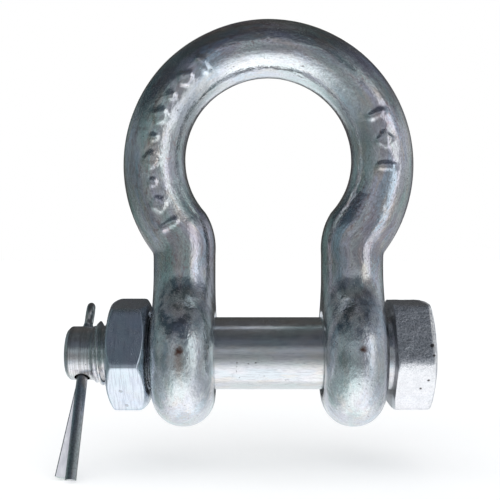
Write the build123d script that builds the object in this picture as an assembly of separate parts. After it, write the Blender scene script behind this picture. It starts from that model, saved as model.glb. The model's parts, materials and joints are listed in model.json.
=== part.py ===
from build123d import *
from math import asin, cos, degrees, radians, sin, sqrt, tan
import os

# Bow shackle, 5/8 in size. Millimetres, +Z up towards the crown of the bow, origin at the
# centre of the jaw on the bolt's axis, +X towards the bolt's head, -Y towards the marked face.

# Bow: a round bar bent to a bow, with an eye at each end.
bar = 16.3             # thickness of the bar, and width of each eye
bar_corner = 7.9       # rounding of the bar's section, so that it is all but round
jaw = 27.6             # clear gap between the eyes
bow_r = 29.85          # radius of the bow, to the middle of the bar
bow_z = 49.3           # height of the bow's centre above the bolt
crown_bar = 15.0       # radial thickness at the crown, where the seat is a little flattened
shoulder_bar = 17.4    # thickness at the shoulders, where the bar is gathered
shoulder_r = 9.0       # radius turning the bow into the legs, to the middle of the bar
eye_r = 19.0           # outside radius of each eye
eye_hole_r = 10.3      # hole through each eye
eye_break = 0.6        # rounding at the mouth of the holes
neck_r = 10.0          # hollow between the leg and its eye
mark_relief = 0.45     # height of the forged marks

# Bolt: hexagon head, plain shank, thread and plain dog point.
shank_r = 9.4
shank_end = -30.6      # shoulder that the nut tightens against
head_x = 31.7          # bearing side of the head
head_t = 9.8
head_af = 27.0         # across flats
head_turn = -2.0       # a corner of the head, from -Y towards +Z, degrees
head_cut = 1.4         # turned chamfer on the head's corners, radial
head_rise = 0.7        # the same chamfer, along the bolt
pitch = 2.309          # 11 threads per inch
thread_r = 8.4
root_r = 7.15
thread_start = -29.7   # where the groove's first turn starts, behind the shoulder
thread_end = -45.3
dog_r = 7.0
dog_end = -52.4
dog_chamfer = 1.0
pin_x = -48.1          # cross hole for the cotter pin
pin_hole_r = 2.0
pin_tilt = 32.0        # lean of the cross hole from +Z towards +Y, degrees

# Nut.
nut_x = -30.7          # bearing side of the nut
nut_t = 10.5
nut_af = 26.6
nut_turn = -7.0
nut_gap = 0.12         # clearance between the two threads
nut_cut = 3.0          # turned chamfer on both ends of the nut, radial
nut_rise = 1.9         # the same chamfer, along the bolt

# Cotter pin: half-round wire doubled back on itself round an eye.
wire_r = 1.4
split = 0.04           # half the gap between the flat sides
loop_turn = 11.0       # turn of the whole pin in its hole, front leg towards +X, degrees
loop_r = 2.0           # inside radius of the eye
loop_s = 11.2          # middle of the eye, from the bolt's axis
flare_r = 2.0          # inside radius where the legs open into the eye
front_tip = -33.8      # end of the straight leg, from the bolt's axis
rear_tip = -31.2       # end of the sprung leg
spring_s = -8.6        # where the sprung leg starts to lean
spring_angle = 7.2     # lean of the sprung leg, degrees
spring_turn = 31.0     # direction of the lean, from -X towards the back, degrees
spring_r = 12.0        # radius of its bend

low = (Align.CENTER, Align.CENTER, Align.MIN)
high = (Align.CENTER, Align.CENTER, Align.MAX)
pin_frame = Pos(pin_x, 0, 0) * Rot(-pin_tilt, 0, 0)
leg_x = (jaw + bar) / 2
shoulder_drop = sqrt((bow_r + shoulder_r) ** 2 - (leg_x + shoulder_r) ** 2)
shoulder_z = bow_z - shoulder_drop
shoulder_angle = degrees(asin(shoulder_drop / (bow_r + shoulder_r)))


def bow_point(angle, radius=bow_r):
    return Vector(radius * cos(radians(angle)), 0, bow_z + radius * sin(radians(angle)))


def bow_plane(angle, radius=bow_r):
    outward = (cos(radians(angle)), 0, sin(radians(angle)))
    along = (sin(radians(angle)), 0, -cos(radians(angle)))
    return Plane(origin=bow_point(angle, radius), x_dir=outward, z_dir=along)


def bar_section(radial, depth):
    return RectangleRounded(radial, depth, min(radial, depth) * bar_corner / bar)


def bow_half(grow=0.0):
    crown_shift = (bar - crown_bar) / 2
    crown = bow_plane(90, bow_r + crown_shift) * bar_section(crown_bar + grow, bar + grow)
    side = bow_plane(0) * bar_section(bar + grow, bar + grow)
    path = ThreePointArc(bow_point(90), bow_point(30), bow_point(-shoulder_angle))
    return sweep([crown, side, shoulder_section(grow)], path=path, multisection=True)


def shoulder_section(grow=0.0):
    inward = (shoulder_bar - bar) / 2
    plane = bow_plane(-shoulder_angle, bow_r - inward)
    return plane * bar_section(shoulder_bar + grow, bar + grow)


def shoulder():
    start = bow_point(-shoulder_angle)
    turn = TangentArc(start, (leg_x, 0, shoulder_z), tangent=bow_plane(-shoulder_angle).z_dir)
    end = Plane(origin=(leg_x, 0, shoulder_z), x_dir=(1, 0, 0), z_dir=(0, 0, -1))
    return sweep([shoulder_section(), end * bar_section(bar, bar)], path=turn, multisection=True)


def eye_outline():
    half = bar / 2
    neck_z = sqrt((eye_r + neck_r) ** 2 - (half + neck_r) ** 2)
    meet = eye_r / (eye_r + neck_r)
    meet_y = (half + neck_r) * meet
    meet_z = neck_z * meet
    top = Line((-half, shoulder_z), (half, shoulder_z))
    right = Line((half, shoulder_z), (half, neck_z))
    right_neck = TangentArc((half, neck_z), (meet_y, meet_z), tangent=(0, -1))
    ring = ThreePointArc((meet_y, meet_z), (0, -eye_r), (-meet_y, meet_z))
    left_neck = TangentArc((-half, neck_z), (-meet_y, meet_z), tangent=(0, -1))
    left = Line((-half, neck_z), (-half, shoulder_z))
    return make_face([top, right, right_neck, ring, left_neck, left])


def eye():
    plate = extrude(Plane.YZ.offset(leg_x) * eye_outline(), bar / 2, both=True)
    rim = plate.edges().filter_by(lambda e: abs(abs(e.center().X - leg_x) - bar / 2) < 0.01)
    rim = rim.filter_by(lambda e: abs(e.center().Z - shoulder_z) > 0.01)
    return fillet(rim, bar_corner)


def eye_holes():
    hole = Rot(0, 90, 0) * Cylinder(eye_hole_r, 4 * leg_x)
    mouths = [-leg_x - bar / 2, -leg_x + bar / 2, leg_x - bar / 2, leg_x + bar / 2]
    for x in mouths:
        hole += Pos(x, 0, 0) * Rot(0, 90, 0) * mouth_break()
    return hole


def mouth_break():
    wide = eye_hole_r + eye_break
    upper = Cone(wide, eye_hole_r, eye_break, align=low)
    lower = Cone(eye_hole_r, wide, eye_break, align=high)
    return upper + lower


def mark(angle, shape):
    spot = bow_point(angle)
    face = Pos(spot.X, spot.Z) * Rot(0, 0, angle) * shape
    return extrude(Plane.XZ * face, bar)


def make_marks():
    lozenge = Rot(0, 0, 45) * RectangleRounded(3.2, 3.2, 0.6)
    stroke = RectangleRounded(5.0, 1.5, 0.7)
    pip = Circle(0.9)
    left = [(124, stroke), (135, lozenge), (146, pip), (157, lozenge), (168, pip)]
    left += [(179, lozenge), (190, pip), (201, lozenge), (212, stroke)]
    right = [(24, stroke), (11, lozenge), (-2, stroke)]
    marks = [mark(angle, shape) for angle, shape in left + right]
    return Part() + marks


def make_bow():
    half = bow_half() + shoulder() + eye()
    raised = bow_half(2 * mark_relief)
    raised += mirror(raised, about=Plane.YZ)
    bow = half + mirror(half, about=Plane.YZ)
    bow += raised & make_marks()
    return bow - eye_holes()


def along_x(x, radius, length):
    return Pos(x, 0, 0) * Rot(0, 90, 0) * Cylinder(radius, length, align=low)


def hexagon(x, thickness, across_flats, turn):
    six = RegularPolygon(across_flats / 2, 6, major_radius=False, rotation=180 - turn)
    return extrude(Plane.YZ.offset(x) * six, thickness)


def turned_blank(x, thickness, across_flats):
    return along_x(x, across_flats / sqrt(3) + 0.01, thickness)


def chamfered_end(rod, end, rise, cut):
    rim = rod.edges().filter_by(GeomType.CIRCLE).sort_by(Axis.X)[end]
    face = rod.faces().sort_by(Axis.X)[end]
    return chamfer(rim, cut, rise, reference=face)


def thread_turn(x, grow):
    inner = root_r - 0.15
    outer = thread_r + grow + 0.06
    slope = tan(radians(30))
    wide = pitch / 16 + grow + slope * (thread_r - inner)
    narrow = pitch / 16 + grow - slope * (outer - thread_r)
    corners = [(inner, -wide), (inner, wide), (outer, narrow), (outer, -narrow)]
    edges = [
        Edge.make_helix(pitch, pitch, r, center=(x + shift, 0, 0), normal=(-1, 0, 0))
        for r, shift in corners
    ]
    sides = [Face.make_surface_from_curves(edges[i - 1], edges[i]) for i in range(4)]
    ends = [Face(Wire.make_polygon([e @ at for e in edges], close=True)) for at in (0, 1)]
    return Solid(Shell(sides + ends))


def thread(grow=0.0):
    starts = [thread_start + pitch - i * pitch for i in range(9)]
    turns = [thread_turn(x, grow) for x in starts]
    return turns[0].fuse(*turns[1:])


def threaded_end():
    length = shank_end - thread_end
    core = along_x(thread_end, root_r, length)
    depth = thread_r - root_r
    envelope = chamfered_end(along_x(thread_end, thread_r, length), 0, depth, depth)
    return core + (envelope & thread())


def dog_point():
    rod = along_x(dog_end, dog_r, thread_end - dog_end)
    dog = chamfered_end(rod, 0, dog_chamfer, dog_chamfer)
    return dog - pin_frame * Cylinder(pin_hole_r, 6 * dog_r)


def make_bolt():
    head = hexagon(head_x, head_t, head_af, head_turn)
    head &= chamfered_end(turned_blank(head_x, head_t, head_af), -1, head_rise, head_cut)
    shank = along_x(shank_end, shank_r, head_x - shank_end)
    return head + shank + threaded_end() + dog_point()


def make_nut():
    low_x = nut_x - nut_t
    blank = turned_blank(low_x, nut_t, nut_af)
    for end in (0, -1):
        blank = chamfered_end(blank, end, nut_rise, nut_cut)
    nut = hexagon(low_x, nut_t, nut_af, nut_turn) & blank
    bore = along_x(low_x - 1, root_r + nut_gap, nut_t + 2)
    mouth = thread_r + nut_gap + 0.25
    for x, turn in ((low_x, 90), (nut_x, -90)):
        depth = mouth - root_r
        bore += Pos(x, 0, 0) * Rot(0, turn, 0) * Cone(mouth, root_r, depth, align=low)
    return nut - bore - thread(nut_gap)


def half_round():
    return Circle(wire_r) & Pos(wire_r, 0) * Rectangle(2 * wire_r, 2 * wire_r)


def loop_path():
    rise = sqrt((loop_r + flare_r) ** 2 - (flare_r + split) ** 2)
    flare_s = loop_s - rise
    share = loop_r / (loop_r + flare_r)
    meet_y = (flare_r + split) * share
    meet_s = loop_s - rise * share
    front = Line((-split, front_tip), (-split, flare_s))
    opening = TangentArc((-split, flare_s), (-meet_y, meet_s), tangent=(0, 1))
    loop = ThreePointArc((-meet_y, meet_s), (0, loop_s + loop_r), (meet_y, meet_s))
    closing = TangentArc((split, flare_s), (meet_y, meet_s), tangent=(0, 1))
    rear = Line((split, flare_s), (split, spring_s))
    return Plane.YZ * Wire([front, opening, loop, closing, rear])


def looped_wire():
    start = Plane(origin=(0, -split, front_tip), x_dir=(0, -1, 0), z_dir=(0, 0, 1))
    return sweep(start * half_round(), path=loop_path())


def sprung_leg():
    start = Plane(origin=(0, split, spring_s), x_dir=(0, 1, 0), z_dir=(0, 0, -1))
    lean = Plane(
        origin=(0, split, spring_s),
        x_dir=(-cos(radians(spring_turn)), sin(radians(spring_turn)), 0),
        z_dir=(-sin(radians(spring_turn)), -cos(radians(spring_turn)), 0),
    )
    bend = JernArc((0, 0), (0, 1), spring_r, -spring_angle)
    leg = Line(bend @ 1, bend @ 1 + bend % 1 * (spring_s - rear_tip))
    return sweep(start * half_round(), path=lean * Wire([bend, leg]))


def make_cotter_pin():
    return pin_frame * Rot(0, 0, loop_turn) * (looped_wire() + sprung_leg())


if __name__ == "__main__":
    os.makedirs("parts", exist_ok=True)
    export_step(make_bow(), "parts/bow.step")
    export_step(make_bolt(), "parts/bolt.step")
    export_step(make_nut(), "parts/nut.step")
    export_step(make_cotter_pin(), "parts/cotter_pin.step")
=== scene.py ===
import bpy
import json
import math
import numpy as np
from mathutils import Matrix, Vector, noise


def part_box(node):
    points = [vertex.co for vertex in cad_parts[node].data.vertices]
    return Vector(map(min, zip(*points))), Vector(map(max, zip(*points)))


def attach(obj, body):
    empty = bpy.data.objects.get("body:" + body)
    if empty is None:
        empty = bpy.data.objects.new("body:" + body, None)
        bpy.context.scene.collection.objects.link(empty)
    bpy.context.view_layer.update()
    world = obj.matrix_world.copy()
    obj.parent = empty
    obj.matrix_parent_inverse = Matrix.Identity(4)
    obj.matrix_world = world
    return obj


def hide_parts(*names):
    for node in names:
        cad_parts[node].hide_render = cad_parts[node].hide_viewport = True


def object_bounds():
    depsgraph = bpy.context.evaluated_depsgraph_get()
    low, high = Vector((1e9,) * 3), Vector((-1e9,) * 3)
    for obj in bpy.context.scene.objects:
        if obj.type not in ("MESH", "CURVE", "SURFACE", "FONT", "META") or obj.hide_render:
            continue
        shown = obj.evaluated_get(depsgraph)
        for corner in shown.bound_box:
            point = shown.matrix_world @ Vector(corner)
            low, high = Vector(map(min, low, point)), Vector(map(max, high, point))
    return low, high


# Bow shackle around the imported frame. Lengths are in millimetres in the frame's own axes, +Z
# towards the crown, +X towards the bolt's head, -Y towards the marked face. They become metres
# where a mesh, a light or the camera is made.

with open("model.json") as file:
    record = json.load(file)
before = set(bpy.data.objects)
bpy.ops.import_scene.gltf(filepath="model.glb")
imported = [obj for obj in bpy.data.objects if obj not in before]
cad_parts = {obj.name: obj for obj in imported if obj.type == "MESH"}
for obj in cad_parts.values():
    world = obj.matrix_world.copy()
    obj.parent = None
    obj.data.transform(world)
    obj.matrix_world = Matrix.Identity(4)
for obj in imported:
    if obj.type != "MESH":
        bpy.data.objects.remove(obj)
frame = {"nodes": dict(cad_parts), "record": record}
cad_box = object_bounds()
MM = 0.001


def box_mm(node):
    low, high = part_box(node)
    return np.array(low) / MM, np.array(high) / MM


bow_low, bow_high = box_mm("bow")
bolt_low, bolt_high = box_mm("bolt")
nut_low, nut_high = box_mm("nut")
mounts = {m["name"]: m for m in frame["record"]["mounts"]}

# Bow
bar = 16.3
jaw = mounts["jaw_pin"]["dims"]["length_mm"]
leg_x = (jaw + bar) / 2
bow_r = 29.85
bow_z = 49.3
shoulder_z = 25.8         # where the bow turns into the legs
leg_foot = 26.0           # above this height the zinc is that of the bow,
eye_top = 12.0            # and below this one it is that of the eyes
straight_crown_z = 97.5   # height of the crown, if the bow were straightened on the legs
left_rust = (-21.97, -18.8, 2.7)
left_rust_run = (-21.97, -18.8, 0.2)    # the stain below it
right_rust = (22.5, -18.7, 3.15)
crown_scratch = (-3.0, -6.9, 82.0)
left_hollow = (-30.5, 0.0, 26.5)    # outside of the bow where it turns into the leg
right_hollow = (30.5, 0.0, 26.5)
hollow_r = 5.0

# Bolt
shank_r = mounts["jaw_pin"]["dims"]["r_mm"]
shank_end = -30.6
head_x = 31.7
head_af = 27.0
head_turn = -2.0
rim_x = 40.4              # from here to the head's face its rim is worn
thread_r = 8.4
root_r = 7.15
thread_end = -45.3
pitch = 2.309
crest_x = -43.53          # a crest of the thread, on the front of the bolt
crest_round = 0.12
thread_angle = 60.0       # between the two flanks
dog_r = 7.0
pin_x = -48.1
pin_tilt = 32.0
pin_hole_r = 2.0
drill_reach = 12.0        # from the bolt's axis, past its surface on each side
bolt_chips = [            # centre and radius
    ((-3.4, -9.3, -1.2), 0.18),
    ((-5.2, -9.3, -1.5), 0.12),
    ((40.2, -13.4, 3.5), 0.55),
    ((40.3, -14.6, 1.2), 0.35),
    ((39.4, -12.6, -5.2), 0.3),
    ((37.7, -11.3, -7.5), 0.3),
]

# Nut
nut_af = 26.6
nut_turn = -7.0
nut_gap = 0.12            # between its thread and the bolt's
mouth_relief = 0.25       # how far its chamfered mouths open past the thread
nut_dents = [             # centre and radius
    ((-37.2, -10.4, -8.35), 0.45),
    ((-36.1, -7.3, -12.4), 0.4),
]

# Cotter pin. Places along it count from the bolt's axis, up through the pin's eye.
wire_r = 1.4
split = 0.04              # half the gap between the flats of the two legs
loop_turn = 11.0          # of the whole pin about its own length
eye_lean = 0.05           # sideways, for each millimetre up
eye_narrowing = 0.2       # share of the wire's width that the eye loses
loop_r = 2.0
loop_s = 11.2
flare_r = 2.0             # of the curves from the legs into the loop
front_tip = -33.8
rear_tip = -31.2
spring_s = -8.6           # where the rear leg bends away
spring_angle = 7.2        # by how much
spring_turn = 31.0        # and to which side, round the pin
spring_r = 12.0

# Meshes
bow_voxel = 0.4
bow_smoothing = 9
forged_under = 0.05       # how far the mean surface lies under the CAD's
past_corners = 0.6        # a hexagon is cut from a round this much larger than its corners

# Studio
camera_at = (-4.8, -220.0, 27.05)
camera_lens = 60.34
sensor_width = 36.0
floor_half = 4.0          # metres
floor_gap = 0.0002        # metres, so that the floor and the eyes never share a height
sun_energy = 2.0
sun_spread = 120
sun_turn = (20, -15, 0)
floor_glow = 0.45
SKY = [                   # elevation in degrees, and the light that comes from there
    (-90, (1.24, 1.25, 1.25)),
    (-58, (1.28, 1.30, 1.31)),
    (-45, (1.14, 1.18, 1.20)),
    (-34, (0.80, 0.85, 0.88)),
    (-24, (0.50, 0.54, 0.57)),
    (-12, (0.27, 0.29, 0.305)),
    (-2, (0.235, 0.25, 0.265)),
    (6, (0.27, 0.295, 0.32)),
    (15, (0.34, 0.375, 0.415)),
    (23, (0.21, 0.235, 0.265)),
    (31, (0.063, 0.075, 0.097)),
    (42, (0.077, 0.094, 0.122)),
    (60, (0.036, 0.042, 0.052)),
    (90, (0.078, 0.083, 0.088)),
]

# Colours
WHITE = (1, 1, 1)
PLAIN_ZINC = (0.72, 0.73, 0.73)
CLEAN_ZINC = (0.70, 0.75, 0.79)
# painted highlight for the inner side of the bar under the crown
CROWN_HIGHLIGHT = (0.87, 0.93, 0.98)
WORN_ZINC_AND_HIGHLIGHT = (0.97, 0.97, 0.97)
# worn zinc with a painted highlight, for the head's rim on its upper side
HEAD_ZINC = (0.95, 0.94, 0.98)
NUT_ZINC = (0.66, 0.74, 0.84)
BROWNED = (0.79, 0.67, 0.58)
BLUE_STREAK = (0.33, 0.38, 0.44)
BROWN_SPECK = (0.40, 0.36, 0.35)
VIOLET_STAIN = (0.43, 0.37, 0.45)
RED_BLOOM = (0.47, 0.31, 0.30)
FORGE_SCALE = (0.33, 0.32, 0.31)
RUST = (0.13, 0.065, 0.05)
RUST_RUN = (0.42, 0.31, 0.25)
BOW_PIT = (0.20, 0.19, 0.20)
BOLT_PIT = (0.16, 0.15, 0.15)
CHIP = (0.10, 0.09, 0.09)
# dark grey for the head's specks, also used as painted shade on its upper side
HEAD_SPECK_AND_SHADE = (0.38, 0.40, 0.43)
SHANK_LINE = (0.42, 0.42, 0.47)
CUT_LINE = (0.36, 0.35, 0.35)
NUT_BRUSHING = (0.42, 0.45, 0.54)
DENT = (0.35, 0.35, 0.36)
WIRE_FILM = (0.45, 0.47, 0.42)
WIRE_SPECK = (0.32, 0.32, 0.29)
LEFT_ROOM = (0.52, 0.62, 0.60)
SIDE_ROOM = (0.24, 0.27, 0.29)
RIGHT_ROOM = (0.13, 0.145, 0.15)
WINDOW = (0.62, 0.63, 0.63)
BACK_WALL = (0.06, 0.06, 0.06)
BACK_TABLE = (0.92, 0.96, 0.99)


# Node trees

class Tree:
    """Short names for the nodes of one shader tree. Colours are given as red, green and blue."""

    def __init__(self, tree):
        self.tree = tree
        self.coordinates = None

    def node(self, kind, inputs=(), **settings):
        made = self.tree.nodes.new(kind)
        for name, value in settings.items():
            setattr(made, name, value)
        for key, value in dict(inputs).items():
            self.feed(made.inputs[key], value)
        return made

    def feed(self, socket, value):
        if isinstance(value, bpy.types.NodeSocket):
            self.tree.links.new(value, socket)
        elif socket.type == "RGBA":
            socket.default_value = (*value, 1)
        else:
            socket.default_value = value

    def math(self, operation, first, second=0.0, third=0.5):
        inputs = {0: first, 1: second, 2: third}
        return self.node("ShaderNodeMath", inputs, operation=operation).outputs[0]

    def times(self, first, second):
        return self.math("MULTIPLY", first, second)

    def plus(self, first, second):
        return self.math("ADD", first, second)

    def minus(self, first, second):
        return self.math("SUBTRACT", first, second)

    def most(self, first, second):
        return self.math("MAXIMUM", first, second)

    def step(self, value, low, high, to_low=0.0, to_high=1.0):
        """A smooth step from to_low to to_high as value goes from low to high."""
        inputs = {"Value": value, "From Min": low, "From Max": high, "To Min": to_low, "To Max": to_high}
        return self.node("ShaderNodeMapRange", inputs, interpolation_type="SMOOTHSTEP").outputs[0]

    def mix(self, share, first, second, blend="MIX"):
        made = self.node("ShaderNodeMix", data_type="RGBA", blend_type=blend)
        self.feed(made.inputs["Factor"], share)
        self.feed(made.inputs["A"], first)
        self.feed(made.inputs["B"], second)
        return made.outputs["Result"]

    def stain(self, colour, stain, pattern, low, high, share):
        """colour, with up to share of the stain over it as pattern goes from low to high."""
        return self.mix(self.step(pattern, low, high, 0.0, share), colour, stain)

    def ramp(self, value, stops):
        made = self.node("ShaderNodeValToRGB", {0: value})
        elements = made.color_ramp.elements
        first, last = elements[0], elements[1]
        first.position, last.position = stops[0][0], stops[-1][0]
        first.color, last.color = (*stops[0][1], 1.0), (*stops[-1][1], 1.0)
        for place, colour in stops[1:-1]:
            elements.new(place).color = (*colour, 1.0)
        return made.outputs[0]

    def place(self):
        """The point in the piece's own coordinates, in millimetres."""
        if self.coordinates is None:
            point = self.node("ShaderNodeTexCoord").outputs["Object"]
            scaled = self.node("ShaderNodeVectorMath", {0: point, "Scale": 1 / MM}, operation="SCALE")
            self.coordinates = scaled.outputs[0]
        return self.coordinates

    def grain(self):
        """The point in coordinates across and along the bar, in millimetres."""
        return self.node("ShaderNodeAttribute", attribute_name="grain").outputs["Vector"]

    def axis(self, point, index):
        """One coordinate of a point, by its number from 0 to 2."""
        return self.node("ShaderNodeSeparateXYZ", {0: point}).outputs[index]

    def noise(self, size, detail=3.0, where=None, stretch=(1, 1, 1), roughness=0.5, seed=0.0):
        """Noise from 0 to 1, with features about size millimetres across."""
        where = self.place() if where is None else where
        inputs = {"Location": (seed, 2 * seed, -seed), "Vector": where,
                  "Scale": tuple(1 / (size * s) for s in stretch)}
        mapped = self.node("ShaderNodeMapping", inputs).outputs[0]
        inputs = {"Vector": mapped, "Scale": 1.0, "Detail": detail, "Roughness": roughness}
        return self.node("ShaderNodeTexNoise", inputs).outputs["Fac"]

    def spot(self, centre, radius, soft=0.5, stretch=(1, 1, 1)):
        """1 inside a patch about centre, falling to 0 outside, with a ragged edge."""
        offset = self.node("ShaderNodeVectorMath", {0: self.place(), 1: centre}, operation="SUBTRACT")
        inputs = {0: offset.outputs[0], 1: tuple(1 / s for s in stretch)}
        scaled = self.node("ShaderNodeVectorMath", inputs, operation="MULTIPLY")
        length = self.node("ShaderNodeVectorMath", {0: scaled.outputs[0]}, operation="LENGTH")
        ragged = self.times(self.noise(0.7, seed=centre[0]), radius * soft * 2)
        reach = self.plus(length.outputs["Value"], ragged)
        return self.step(reach, radius * (1 + 2 * soft), radius)


def new_material(name):
    material = bpy.data.materials.new(name)
    material.use_nodes = True
    tree = Tree(material.node_tree)
    return material, tree, material.node_tree.nodes["Principled BSDF"]


def finish_metal(tree, shader, colour, roughness, height, depth, metal=1.0):
    """height is a field from 0 to 1, and depth what it stands for, in millimetres."""
    tree.feed(shader.inputs["Base Color"], colour)
    tree.feed(shader.inputs["Roughness"], roughness)
    tree.feed(shader.inputs["Metallic"], metal)
    inputs = {"Strength": 1.0, "Distance": depth * MM, "Height": height}
    bump = tree.node("ShaderNodeBump", inputs)
    tree.feed(shader.inputs["Normal"], bump.outputs[0])


def zinc_tint(tree, where, stretch):
    """Zinc that has greened, blued and browned in patches and streaks."""
    patches = tree.noise(5.5, 2.5, where, stretch, seed=3.0)
    tint = tree.ramp(patches, [
        (0.36, (0.60, 0.74, 0.71)),
        (0.45, (0.73, 0.79, 0.78)),
        (0.51, (0.82, 0.82, 0.83)),
        (0.57, (0.78, 0.75, 0.84)),
        (0.65, (0.64, 0.75, 0.86)),
    ])
    streaks = tree.noise(2.6, 3.5, where, stretch, roughness=0.58, seed=11.0)
    return tree.stain(tint, BROWNED, streaks, 0.50, 0.66, 0.65)


def cloudy_roughness(tree, cloud_size, smoothest, roughest):
    """Roughness that drifts between two values."""
    return tree.step(tree.noise(cloud_size, 4.0, seed=8.0), 0.3, 0.7, smoothest, roughest)


def stained_zinc(tree, grain):
    """Colour of the zinc on the forging, streaked along the bar and specked by the scale under it."""
    colour = zinc_tint(tree, grain, (1.0, 1.0, 3.5))
    streaks = tree.noise(0.6, 4.0, grain, (1, 1, 5), 0.6, seed=14.0)
    colour = tree.stain(colour, BLUE_STREAK, streaks, 0.50, 0.70, 0.42)
    specks = tree.noise(0.4, 3.0, grain, (1, 1, 1.5), 0.7, seed=41.0)
    colour = tree.stain(colour, BROWN_SPECK, specks, 0.45, 0.66, 0.52)
    stains = tree.noise(3.6, 4.0, grain, (1, 1, 3.0), 0.6, seed=31.0)
    colour = tree.stain(colour, VIOLET_STAIN, stains, 0.50, 0.62, 0.45)
    bloom = tree.noise(0.8, 4.0, grain, (1, 1, 2), 0.65, seed=51.0)
    blooming = tree.step(tree.noise(9.0, 2.0, grain, (1, 1, 1.5), seed=52.0), 0.44, 0.56)
    bloom = tree.times(blooming, tree.step(bloom, 0.54, 0.64, 0.0, 0.55))
    return tree.mix(bloom, colour, RED_BLOOM)


def forged_height(tree, grain, on_eyes, pits):
    """Dents of the forge, drawn lines along the bar, a fine peel, and the pits."""
    ripple = tree.noise(2.6, 4.0, grain, (1, 1, 1.6), 0.6, seed=1.0)
    drawn = tree.noise(0.9, 3.0, grain, (1, 1, 9), 0.55, seed=7.0)
    peel = tree.noise(0.6, 3.0, grain, (1, 1, 1.6), seed=9.0)
    height = tree.times(tree.math("MULTIPLY_ADD", on_eyes, 0.3, 0.6), ripple)
    height = tree.plus(height, tree.times(drawn, tree.step(on_eyes, 0.0, 1.0, 0.12, 0.08)))
    height = tree.plus(height, tree.times(peel, tree.step(on_eyes, 0.0, 1.0, 0.11, 0.13)))
    return tree.minus(height, tree.times(pits, 0.10))


def forging_material():
    """Zinc over forging scale, cleaner on the eyes, with a painted highlight under the crown, pits and
    two rust spots.
    """
    material, tree, shader = new_material("zinc_on_forging")
    grain = tree.grain()
    height_z = tree.axis(tree.place(), 2)
    on_eyes = tree.step(height_z, leg_foot, eye_top)
    # Inner side of the bar from 40 to 70 mm up, where the crown's painted highlight goes
    painted_crown_highlight = tree.times(tree.step(tree.axis(grain, 0), 1.5, -3.5), tree.step(height_z, 40.0, 70.0))
    pits = tree.step(tree.noise(0.5, 3.0, seed=5.0), 0.66, 0.74)
    rust = tree.most(tree.spot(left_rust, 0.9, 0.9), tree.spot(right_rust, 0.75, 0.9))
    rust = tree.most(rust, tree.spot(crown_scratch, 0.25, stretch=(7, 1, 1)))
    rust_run = tree.spot(left_rust_run, 1.0, 0.8, (1, 1, 3.5))
    scale = tree.most(tree.spot(right_hollow, hollow_r), tree.spot(left_hollow, hollow_r))

    colour = stained_zinc(tree, grain)
    colour = tree.mix(tree.times(on_eyes, 0.5), colour, CLEAN_ZINC)
    # Painted highlight: the inner side under the crown is lightened towards pale blue-white
    colour = tree.mix(tree.times(painted_crown_highlight, 0.5), colour, CROWN_HIGHLIGHT)
    colour = tree.mix(pits, colour, BOW_PIT)
    colour = tree.mix(tree.times(rust_run, 0.6), colour, RUST_RUN)
    colour = tree.mix(rust, colour, RUST)
    colour = tree.mix(tree.times(scale, 0.45), colour, FORGE_SCALE)

    clouds = tree.noise(2.6, 4.0, grain, (1, 1, 3), 0.6, seed=8.0)
    roughness = tree.step(clouds, 0.35, 0.7, 0.06, 0.20)
    for where, added in ((on_eyes, 0.06), (scale, 0.3), (tree.most(pits, rust), 0.35)):
        roughness = tree.plus(roughness, tree.times(where, added))

    bare = tree.noise(2.6, 4.0, grain, (1, 1, 1.6), 0.55, seed=21.0)
    metal = tree.mix(on_eyes, (0.97, 0.97, 0.97), tree.step(bare, 0.38, 0.62, 0.86, 1.0))
    height = forged_height(tree, grain, on_eyes, pits)
    finish_metal(tree, shader, colour, roughness, height, 0.3, metal)
    return material


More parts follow.
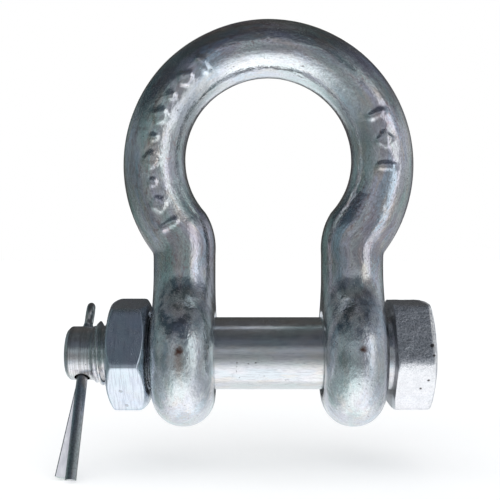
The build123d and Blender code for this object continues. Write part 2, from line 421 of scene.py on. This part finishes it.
def bolt_material():
    """The forged head, and the turned shank and point with their tool marks. The head's upper side is
    darkened as painted shade, by denser dark specks, and its rim there is lightened as wear and painted
    highlight.
    """
    material, tree, shader = new_material("zinc_on_bolt")
    along = tree.axis(tree.place(), 0)
    on_head = tree.step(along, head_x - 1.0, head_x + 0.2)
    off_head = tree.step(on_head, 1.0, 0.0)
    on_point = tree.step(along, thread_end + 0.8, thread_end)
    # Upper half of the bolt, in its own coordinates: painted shade on the head's top through denser
    # specks, and a painted highlight on its rim there
    upward = tree.step(tree.axis(tree.place(), 2), -4.0, 0.0, 0.25, 1.0)
    pits = tree.step(tree.noise(0.7, 2.0, seed=15.0), 0.70, 0.76)
    turned = tree.noise(0.32, 2.0, stretch=(1, 60, 60), seed=6.0)
    forged = tree.noise(0.8, 4.0, seed=2.0)
    specks = tree.noise(0.35, 3.0, roughness=0.7, seed=22.0)
    lines = tree.noise(0.3, 3.0, stretch=(7, 1, 1), seed=33.0)
    # The head's rim on its upper side: worn zinc, and a painted highlight in matt near-white
    at_rim = tree.times(tree.step(along, rim_x - 0.4, rim_x + 0.3), upward)
    worn_and_highlit_rim = tree.times(at_rim, tree.step(specks, 0.44, 0.54))

    tint = zinc_tint(tree, tree.place(), (3.0, 1.0, 1.0))
    colour = tree.mix(0.4, PLAIN_ZINC, tint)
    colour = tree.mix(pits, colour, BOLT_PIT)
    colour = tree.mix(tree.times(on_head, 0.8), colour, HEAD_ZINC)
    # Painted shade: the head's specks crowd on its upper side and darken it, while below they are sparse
    specks_and_top_shade = tree.times(tree.times(on_head, upward), tree.step(specks, 0.42, 0.60, 0.0, 0.85))
    colour = tree.mix(specks_and_top_shade, colour, HEAD_SPECK_AND_SHADE)
    colour = tree.mix(tree.times(tree.step(lines, 0.48, 0.66, 0.0, 0.3), off_head), colour, SHANK_LINE)
    # Wear and painted highlight: the upper rim of the head turns matt near-white
    colour = tree.mix(worn_and_highlit_rim, colour, WORN_ZINC_AND_HIGHLIGHT)

    broken = tree.step(tree.noise(0.7, 2.0, seed=44.0), 0.60, 0.64)
    pits = tree.most(pits, tree.times(broken, tree.step(along, rim_x - 0.6, rim_x)))
    for centre, radius in bolt_chips:
        chip = tree.spot(centre, radius)
        pits = tree.most(pits, chip)
        colour = tree.mix(chip, colour, CHIP)
    cut_lines = tree.times(on_point, tree.step(turned, 0.42, 0.62, 0.0, 0.6))
    colour = tree.mix(cut_lines, colour, CUT_LINE)

    height = tree.times(forged, tree.step(on_head, 0.0, 1.0, 0.2, 1.0))
    height = tree.plus(height, tree.times(turned, tree.step(on_point, 0.0, 1.0, 0.06, 0.38)))
    height = tree.plus(height, tree.times(tree.times(specks, 0.5), on_head))
    height = tree.minus(height, tree.times(pits, 0.4))
    roughness = tree.plus(cloudy_roughness(tree, 2.0, 0.14, 0.25), tree.times(on_head, 0.18))
    # the painted highlight on the rim is mostly matt, so it stays bright from every side
    metal = tree.step(worn_and_highlit_rim, 0.0, 1.0, 0.95, 0.3)
    finish_metal(tree, shader, colour, roughness, height, 0.14, metal)
    return material


def nut_material():
    """Machined flats, faintly brushed, with two small dents on the lower one."""
    material, tree, shader = new_material("zinc_on_nut")
    colour = tree.mix(0.75, zinc_tint(tree, tree.place(), (1.0, 1.0, 1.0)), NUT_ZINC)
    brushed = tree.noise(0.35, 3.0, stretch=(1, 14, 14), seed=2.0)
    colour = tree.stain(colour, NUT_BRUSHING, brushed, 0.45, 0.62, 0.42)
    dents = tree.most(*[tree.spot(centre, radius) for centre, radius in nut_dents])
    colour = tree.mix(tree.times(dents, 0.6), colour, DENT)
    height = tree.minus(tree.times(brushed, 0.3), dents)
    finish_metal(tree, shader, colour, cloudy_roughness(tree, 2.0, 0.18, 0.28), height, 0.09, 0.95)
    return material


def wire_material():
    """Drawn wire, darkened and specked by handling."""
    material, tree, shader = new_material("dull_wire")
    colour = tree.mix(0.2, zinc_tint(tree, tree.place(), (1.0, 2.0, 4.0)), WIRE_FILM)
    specks = tree.noise(0.35, 3.0, stretch=(1, 1, 2), roughness=0.7, seed=23.0)
    colour = tree.stain(colour, WIRE_SPECK, specks, 0.46, 0.60, 0.5)
    height = tree.noise(0.4, 3.0, stretch=(1, 3, 6), seed=2.0)
    finish_metal(tree, shader, colour, cloudy_roughness(tree, 1.0, 0.30, 0.42), height, 0.02)
    return material


def flat_material():
    """The inner flats of the wire, matt and pale with zinc bloom."""
    material, tree, shader = new_material("pale_flat")
    bloom = tree.noise(0.8, 4.0, stretch=(1, 2, 4), seed=4.0)
    colour = tree.ramp(bloom, [(0.35, (0.70, 0.70, 0.75)), (0.65, (0.84, 0.84, 0.88))])
    finish_metal(tree, shader, colour, 0.5, bloom, 0.02, 0.0)
    return material


def floor_material():
    """Plain and pale, with a little light of its own so that it meets the white surroundings."""
    material, tree, shader = new_material("pale_floor")
    shade = tree.ramp(tree.noise(60.0, 2.0), [(0.3, (0.86, 0.86, 0.86)), (0.7, (0.88, 0.88, 0.88))])
    tree.feed(shader.inputs["Base Color"], shade)
    tree.feed(shader.inputs["Emission Color"], WHITE)
    tree.feed(shader.inputs["Emission Strength"], floor_glow)
    tree.feed(shader.inputs["Roughness"], 0.9)
    tree.feed(shader.inputs["Specular IOR Level"], 0.0)
    return material


# Meshes

def add_object(name, mesh):
    made = bpy.data.objects.new(name, mesh)
    bpy.context.scene.collection.objects.link(made)
    return made


def applied(piece):
    """The piece with its modifiers made part of its mesh."""
    evaluated = piece.evaluated_get(bpy.context.evaluated_depsgraph_get())
    mesh = bpy.data.meshes.new_from_object(evaluated)
    piece.modifiers.clear()
    piece.data = mesh
    return piece


def points_of(mesh):
    co = np.zeros(len(mesh.vertices) * 3, np.float32)
    mesh.vertices.foreach_get("co", co)
    return co.reshape(-1, 3).astype(float) / MM


def set_points(mesh, points):
    mesh.vertices.foreach_set("co", (points * MM).astype(np.float32).ravel())
    mesh.update()


def normals_of(mesh):
    normals = np.zeros(len(mesh.vertices) * 3, np.float32)
    mesh.vertex_normals.foreach_get("vector", normals)
    return normals.reshape(-1, 3).astype(float)


def field(points, size, seed):
    """Smooth noise from -1 to 1 at each point, with features about size millimetres across."""
    shift = Vector((seed, 0.7 * seed, -1.3 * seed))
    scaled = points / size
    return np.array([noise.noise(Vector(p) + shift) for p in scaled])


def smooth(low, high, value):
    t = np.clip((value - low) / (high - low), 0, 1)
    return t * t * (3 - 2 * t)


def bar_coordinates(points):
    """Coordinates across the bar, across it in Y, and along it from the crown, for each point."""
    x, y, z = points.T
    reach = np.hypot(x, z - bow_z)
    angle = np.arctan2(z - bow_z, np.abs(x))
    on_bow = smooth(shoulder_z - 3, shoulder_z + 9, z)
    across = (reach - bow_r) * on_bow + (np.abs(x) - leg_x) * (1 - on_bow)
    from_crown = bow_r * (math.pi / 2 - angle) * on_bow + (straight_crown_z - z) * (1 - on_bow)
    return np.stack([across, y, np.sign(x) * from_crown], axis=1)


def store_grain(mesh, grain):
    attribute = mesh.attributes.new("grain", "FLOAT_VECTOR", "POINT")
    attribute.data.foreach_set("vector", grain.astype(np.float32).ravel())


def make_bow():
    """The CAD bow, remeshed evenly, its edges softened and its surface left uneven by the forge."""
    bow = add_object("bow_forging", frame["nodes"]["bow"].data.copy())
    bow.parent = None
    remesh = bow.modifiers.new("even", "REMESH")
    remesh.mode = "VOXEL"
    remesh.voxel_size = bow_voxel * MM
    soften = bow.modifiers.new("soften", "SMOOTH")
    soften.factor = 0.5
    soften.iterations = bow_smoothing
    applied(bow)
    mesh = bow.data
    points = points_of(mesh)
    grain = bar_coordinates(points)
    along_bar = grain / (1, 1, 2.2)
    waves = 0.09 * field(along_bar, size=9.0, seed=4.0) + 0.03 * field(along_bar, size=2.6, seed=9.0)
    flakes = 0.05 * smooth(0.45, 0.7, field(points, size=2.0, seed=21.0))
    depth = waves - forged_under - flakes
    points = points + normals_of(mesh) * depth[:, None]
    set_points(mesh, np.clip(points, bow_low, bow_high))
    store_grain(mesh, grain)
    mesh.shade_smooth()
    return bow


def rounded(points, radius):
    """The outline with each corner turned on a curve that takes at most 0.45 of either side."""
    out = [np.array(points[0], float)]
    for before, corner, after in zip(points, points[1:], points[2:]):
        before, corner, after = (np.array(p, float) for p in (before, corner, after))
        arms = []
        for other in (before, after):
            arm = other - corner
            arms.append(corner + arm * min(radius / np.linalg.norm(arm), 0.45))
        for t in np.linspace(0, 1, 5):
            out.append((1 - t) ** 2 * arms[0] + 2 * t * (1 - t) * corner + t ** 2 * arms[1])
    out.append(np.array(points[-1], float))
    return out


def filled(points, step):
    """The outline with more points wherever two are further apart than step."""
    out = [points[0]]
    for a, b in zip(points, points[1:]):
        count = max(1, math.ceil(np.linalg.norm(b - a) / step))
        out += [a + (b - a) * (i + 1) / count for i in range(count)]
    return out


def soft_min(a, b, sharpness):
    """The lesser of a and b, less a little where they are close, so that the two meet smoothly."""
    low = np.minimum(a, b)
    return low - np.log1p(np.exp(-sharpness * np.abs(a - b))) / sharpness


def hexagon_radius(angles, across_flats, sharpness):
    """Distance to a hexagon with softened corners, one of them at angle 0."""
    from_flat = (angles + math.pi) % (math.pi / 3) - math.pi / 6
    near = across_flats / 2 / np.cos(from_flat)
    other = across_flats / 2 / np.cos(math.pi / 3 - np.abs(from_flat))
    return soft_min(near, other, sharpness)


def lathe_angles(turn):
    """Angles round the bolt from -Y towards +Z, closer together near a hexagon's corners."""
    steps = np.linspace(-1, 1, 25)[:-1]
    sector = np.radians(30) * np.sign(steps) * np.abs(steps) ** 1.5
    corners = np.radians(turn) + np.radians(60) * np.arange(6)
    return (corners[:, None] + sector[None, :]).ravel()


def lathe(name, profile, angles, radius_at, closed=False):
    """A piece turned about X. profile holds (x, r) points; radius_at(x, r, angles) shapes each ring."""
    rings = []
    for x, r in profile:
        radii = radius_at(x, r, angles)
        ring = [np.full_like(radii, x), -radii * np.cos(angles), radii * np.sin(angles)]
        rings.append(np.stack(ring, axis=1))
    count = len(angles)
    faces = []
    last = len(rings) if closed else len(rings) - 1
    for i in range(last):
        a, b = i * count, (i + 1) % len(rings) * count
        faces += [(a + j, b + j, b + (j + 1) % count, a + (j + 1) % count) for j in range(count)]
    vertices = np.concatenate(rings)
    if not closed:
        ends = [(profile[0][0], 0), (profile[-1][0], (len(rings) - 1) * count)]
        for end, (x, first) in enumerate(ends):
            tip = len(vertices)
            vertices = np.concatenate([vertices, [[x, 0, 0]]])
            fan = [(tip, first + j, first + (j + 1) % count) for j in range(count)]
            faces += fan if end == 0 else [f[::-1] for f in fan]
    mesh = bpy.data.meshes.new(name)
    mesh.from_pydata([tuple(v * MM) for v in vertices], [], faces)
    mesh.update()
    return add_object(name, mesh)


def thread_radius(x, angles, grow=0.0):
    """Radius of the thread's form at x, to each side of its nearest crest."""
    turned = angles / (2 * math.pi)
    phase = ((x - crest_x) / pitch + turned + 0.5) % 1.0 - 0.5
    beside = np.maximum(0, np.abs(phase) * pitch - pitch / 16 - grow)
    beside = np.sqrt(beside ** 2 + crest_round ** 2) - crest_round
    depth = beside / math.tan(math.radians(thread_angle / 2))
    return np.maximum(thread_r - depth, root_r) + grow


def make_bolt():
    """Dog point, thread, shank and head in one turned mesh."""
    angles = lathe_angles(head_turn)
    left, right = bolt_low[0], bolt_high[0]
    face_r = 1.5                        # innermost ring of each end face
    point_cut, shank_cut = 1.0, 0.4
    inner_rise, inner_cut = 0.5, 1.0    # edge of the head towards the eye
    outer_rise, outer_cut = 1.0, 1.9    # edge of the head away from it
    depth = thread_r - root_r
    rim = head_af / math.sqrt(3)
    corner_r = rim + past_corners
    point = [(left, face_r), (left, dog_r - point_cut), (left + point_cut, dog_r), (thread_end, dog_r)]
    screw = [(thread_end, root_r), (thread_end + depth, thread_r), (shank_end, thread_r)]
    shank = [(shank_end, shank_r - shank_cut), (shank_end + shank_cut, shank_r), (head_x, shank_r)]
    head = [(head_x, rim - inner_cut), (head_x + inner_rise, corner_r), (right - outer_rise, corner_r)]
    head += [(right, rim - outer_cut), (right, face_r)]
    outline = filled(rounded(point, 0.3), step=0.6)[:-1]
    outline += filled([np.array(p, float) for p in screw], step=0.13)
    outline += filled(rounded(shank, 0.3), step=1.0)
    outline += filled(rounded(head, 0.9), step=0.5)
    hexagon = hexagon_radius(angles - math.radians(head_turn), head_af, sharpness=2.2)

    def radius_at(x, r, angles):
        radii = np.full_like(angles, r)
        if thread_end < x < shank_end and r > root_r:
            radii = np.minimum(r, thread_radius(x, angles))
        if x > head_x - 0.01 and r > shank_r + 0.2:
            radii = soft_min(radii, hexagon, sharpness=3.0)
        return radii

    bolt = lathe("bolt", outline, angles, radius_at)
    wear_head(bolt.data)
    drill_pin_hole(bolt)
    return bolt


def wear_head(mesh):
    """Leaves the forged head slightly uneven, most of all at its outer rim."""
    points = points_of(mesh)
    from_shank = points[:, 0] - head_x
    at_corners = smooth(10.5, 13.5, np.hypot(points[:, 1], points[:, 2]))
    uneven = 0.05 * field(points, size=3.0, seed=5.0)
    worn = 0.09 * at_corners * (field(points, size=1.6, seed=12.0) - 0.35)
    depth = (uneven + worn) * smooth(0.2, 2.0, from_shank)
    points = points + normals_of(mesh) * depth[:, None]
    set_points(mesh, np.clip(points, bolt_low, bolt_high))


def drill_pin_hole(bolt):
    """Cuts the cotter pin's cross hole through the dog point."""
    drill_angles = np.linspace(0, 2 * math.pi, 49)[:-1]
    ends = [(-drill_reach, pin_hole_r), (drill_reach, pin_hole_r)]
    drill = lathe("drill", ends, drill_angles, lambda x, r, a: np.full_like(a, r))
    points = points_of(drill.data)
    turned = [pin_to_world(Vector((p[1], p[2], p[0]))) for p in points]
    set_points(drill.data, np.array(turned))
    cut = bolt.modifiers.new("hole", "BOOLEAN")
    cut.operation = "DIFFERENCE"
    cut.object = drill
    cut.solver = "EXACT"
    applied(bolt)
    bpy.data.objects.remove(drill)


def make_nut():
    """A turned ring with softened hexagon flats outside and the thread's form inside."""
    angles = lathe_angles(nut_turn)
    left, right = nut_low[0], nut_high[0]
    rise, cut = 2.28, 3.0               # the chamfers, along the nut and across it
    rim = nut_af / math.sqrt(3)
    outer_r = rim + past_corners
    bore = root_r + nut_gap
    mouth = thread_r + nut_gap + mouth_relief
    step = mouth - bore
    outer = [(left, mouth), (left, rim - cut), (left + rise, outer_r)]
    outer += [(right - rise, outer_r), (right, rim - cut), (right, mouth)]
    inner = [(right, mouth), (right - step, bore), (left + step, bore), (left, mouth)]
    outline = filled(rounded(outer, 1.7), step=0.4)
    outline += filled([np.array(p, float) for p in inner], step=0.15)[1:-1]
    hexagon = hexagon_radius(angles - math.radians(nut_turn), nut_af, sharpness=2.6)

    def radius_at(x, r, angles):
        if r > mouth:
            return soft_min(np.full_like(angles, r), hexagon, sharpness=5.0)
        return np.maximum(r, thread_radius(x, angles, nut_gap))

    return lathe("nut", outline, angles, radius_at, closed=True)


def pin_to_world(p):
    """A point of the cotter pin's own frame, third axis up through its eye, in the frame's axes."""
    turned = Matrix.Rotation(math.radians(loop_turn), 3, "Z") @ Vector(p)
    tilted = Matrix.Rotation(math.radians(-pin_tilt), 3, "X") @ turned
    return Vector((pin_x, 0, 0)) + tilted


def arc(centre, radius, start, end, count):
    """Points of an arc in the pin's own second and third axes, from start to end degrees."""
    turns = np.radians(np.linspace(start, end, count))
    return [(0.0, centre[0] + radius * math.cos(t), centre[1] + radius * math.sin(t)) for t in turns]


def cotter_path():
    """Middle of the flat side of the wire, from the straight leg's tip round the eye and down."""
    rise = math.sqrt((loop_r + flare_r) ** 2 - (flare_r + split) ** 2)
    flare_s = loop_s - rise
    below_flare = flare_s - 0.2
    lean = math.degrees(math.atan2(rise, flare_r + split))
    path = [(0.0, -split, s) for s in np.linspace(front_tip, below_flare, 60)]
    path += arc((-split - flare_r, flare_s), flare_r, 0, lean, 8)
    path += arc((0, loop_s), loop_r, 180 + lean, -lean, 40)[1:]
    path += arc((split + flare_r, flare_s), flare_r, 180 - lean, 180, 8)[1:]
    path += [(0.0, split, s) for s in np.linspace(below_flare, spring_s, 24)]
    turn = math.radians(spring_turn)
    side = np.array([-math.cos(turn), math.sin(turn), 0.0])
    bends = np.radians(np.linspace(0, spring_angle, 8))[1:]
    start = np.array(path[-1])
    bent = [start + spring_r * ((1 - math.cos(b)) * side - np.array([0, 0, math.sin(b)])) for b in bends]
    path += [tuple(b) for b in bent]
    run = math.sin(bends[-1]) * side - np.array([0, 0, math.cos(bends[-1])])
    length = spring_s - rear_tip
    path += [tuple(bent[-1] + run * d) for d in np.linspace(0, length, 50)[1:]]
    path = np.array(path)
    path[:, 0] += eye_lean * np.maximum(path[:, 2] - dog_r, 0)
    return path


def half_round():
    """Outline of the wire: (outward from the flat, across it), with softened edges."""
    edge_lift, edge_cut, flat_cut = 0.04, 0.08, 0.22
    turns = np.radians(np.linspace(-84, 84, 19))
    outline = [(wire_r * math.cos(t), wire_r * math.sin(t)) for t in turns]
    edge = [(edge_lift, wire_r - edge_cut), (0.0, wire_r - flat_cut)]
    other_edge = [(out, -across) for out, across in edge[::-1]]
    return outline + edge + [(0.0, 0.0)] + other_edge


def make_cotter_pin():
    """Half-round wire swept along its path, with the flats in a material of their own."""
    path = cotter_path()
    tangents = np.gradient(path, axis=0)
    tangents /= np.linalg.norm(tangents, axis=1)[:, None]
    section = half_round()
    rings = []
    for point, tangent in zip(path, tangents):
        out = np.cross((1.0, 0.0, 0.0), tangent)
        out /= np.linalg.norm(out)
        across = np.cross(tangent, out) * (1 - eye_narrowing * smooth(dog_r, dog_r + 2, point[2]))
        rings.append([point + out * a + across * b for a, b in section])
    count = len(section)
    vertices = [pin_to_world(v) * MM for ring in rings for v in ring]
    faces = []
    for i in range(len(rings) - 1):
        a, b = i * count, (i + 1) * count
        faces += [(a + j, a + (j + 1) % count, b + (j + 1) % count, b + j) for j in range(count)]
    faces.append(tuple(range(count))[::-1])
    faces.append(tuple(range((len(rings) - 1) * count, len(rings) * count)))
    mesh = bpy.data.meshes.new("cotter_pin")
    mesh.from_pydata(vertices, [], faces)
    mesh.update()
    flats = {count - 4, count - 3}      # the faces to each side of the middle of the flat
    for i in range((len(rings) - 1) * count):
        mesh.polygons[i].material_index = int(i % count in flats)
    return add_object("cotter_wire", mesh)


def finish_piece(piece, body, node, materials, sharp_above=None):
    """Gives a piece its shading and materials, and its place in the frame."""
    mesh = piece.data
    mesh.shade_smooth()
    if sharp_above is not None:
        mesh.set_sharp_from_angle(angle=math.radians(sharp_above))
    if mesh.materials:
        mesh.materials.clear()
    for material in materials:
        mesh.materials.append(material)
    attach(piece, body)
    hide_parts(node)


# Studio

def make_camera():
    """Where the photograph was taken from, as near as its perspective tells."""
    data = bpy.data.cameras.new("camera")
    data.lens = camera_lens
    data.sensor_width = sensor_width
    camera = add_object("camera", data)
    camera.location = [c * MM for c in camera_at]
    camera.rotation_euler = (math.radians(90), 0, 0)
    bpy.context.scene.camera = camera


def dim_left(tree, light, azimuth, up):
    """The left side is darker and greener, except straight below."""
    tint = tree.mix(tree.step(azimuth, -60.0, -12.0), LEFT_ROOM, WHITE)
    tint = tree.mix(tree.step(up, -0.9, -0.5), WHITE, tint)
    return tree.mix(1.0, light, tint, "MULTIPLY")


def add_window(tree, light, azimuth, up):
    """A pale window to the front right that fades above and below."""
    beside = tree.math("ABSOLUTE", tree.minus(azimuth, 42.0))
    window = tree.times(tree.step(beside, 22.0, 5.0), tree.step(up, 0.72, 0.3))
    window = tree.times(window, tree.step(up, -0.8, -0.2))
    return tree.mix(window, light, WINDOW, "ADD")


def add_right_wall(tree, light, azimuth, up):
    """A little light from the whole right side, fading at the top."""
    wall = tree.times(tree.step(azimuth, 22.0, 50.0), tree.step(azimuth, 140.0, 110.0))
    wall = tree.times(wall, tree.step(up, 0.95, 0.4))
    return tree.mix(wall, light, RIGHT_ROOM, "ADD")


def dim_table_sides(tree, light, aside, up):
    """The pale table below doesn't reach far to either side."""
    beyond = tree.step(tree.math("ABSOLUTE", aside), 0.2, 0.8)
    beyond = tree.times(beyond, tree.step(up, -0.1, -0.4, 0.0, 0.6))
    return tree.mix(beyond, light, SIDE_ROOM)


def add_back(tree, light, azimuth, up):
    """Behind the object, a dark wall above a pale table."""
    behind = tree.step(tree.math("ABSOLUTE", azimuth), 125.0, 160.0)
    back = tree.mix(tree.step(up, -0.08, -0.32), BACK_WALL, BACK_TABLE)
    return tree.mix(behind, light, back)


def make_world():
    """A dim room above and a pale table below. Only reflections see it: the camera sees white."""
    world = bpy.data.worlds.new("studio")
    bpy.context.scene.world = world
    world.use_nodes = True
    tree = Tree(world.node_tree)
    direction = tree.node("ShaderNodeTexCoord").outputs["Generated"]
    aside, away, up = [tree.axis(direction, index) for index in range(3)]
    azimuth = tree.math("ARCTAN2", aside, tree.times(away, -1.0))
    azimuth = tree.math("DEGREES", azimuth)      # 0 towards the camera, positive to the right
    height = tree.math("MULTIPLY_ADD", up, 0.5, 0.5)
    stops = [(0.5 + 0.5 * math.sin(math.radians(elevation)), light) for elevation, light in SKY]
    light = tree.ramp(height, stops)
    light = dim_left(tree, light, azimuth, up)
    light = add_window(tree, light, azimuth, up)
    light = add_right_wall(tree, light, azimuth, up)
    light = dim_table_sides(tree, light, aside, up)
    light = add_back(tree, light, azimuth, up)
    seen = tree.node("ShaderNodeLightPath").outputs["Is Camera Ray"]
    background = world.node_tree.nodes["Background"]
    tree.feed(background.inputs["Color"], tree.mix(seen, light, WHITE))


def make_floor():
    """A plain pale floor just under the object, left out of reflections."""
    z = cad_box[0][2] - floor_gap
    mesh = bpy.data.meshes.new("floor")
    corners = [(x, y, z) for x, y in ((-1, -1), (1, -1), (1, 1), (-1, 1))]
    corners = [(x * floor_half, y * floor_half, z) for x, y, z in corners]
    mesh.from_pydata(corners, [], [(0, 1, 2, 3)])
    floor = add_object("floor", mesh)
    mesh.materials.append(floor_material())
    floor.visible_glossy = False


def make_light():
    """One very wide sun, which the metals don't mirror."""
    data = bpy.data.lights.new("soft_sun", "SUN")
    data.energy = sun_energy
    data.angle = math.radians(sun_spread)
    sun = add_object("soft_sun", data)
    sun.rotation_euler = [math.radians(turn) for turn in sun_turn]
    sun.visible_glossy = False


make_camera()
make_world()
make_floor()
make_light()
bpy.context.scene.view_settings.view_transform = "Standard"

bow = make_bow()
finish_piece(bow, "bow", "bow", [forging_material()])
bolt = make_bolt()
finish_piece(bolt, "bolt", "bolt", [bolt_material()], 35)
nut = make_nut()
finish_piece(nut, "nut", "nut", [nut_material()], 35)
cotter = make_cotter_pin()
finish_piece(cotter, "cotter_pin", "cotter_pin", [wire_material(), flat_material()], 50)
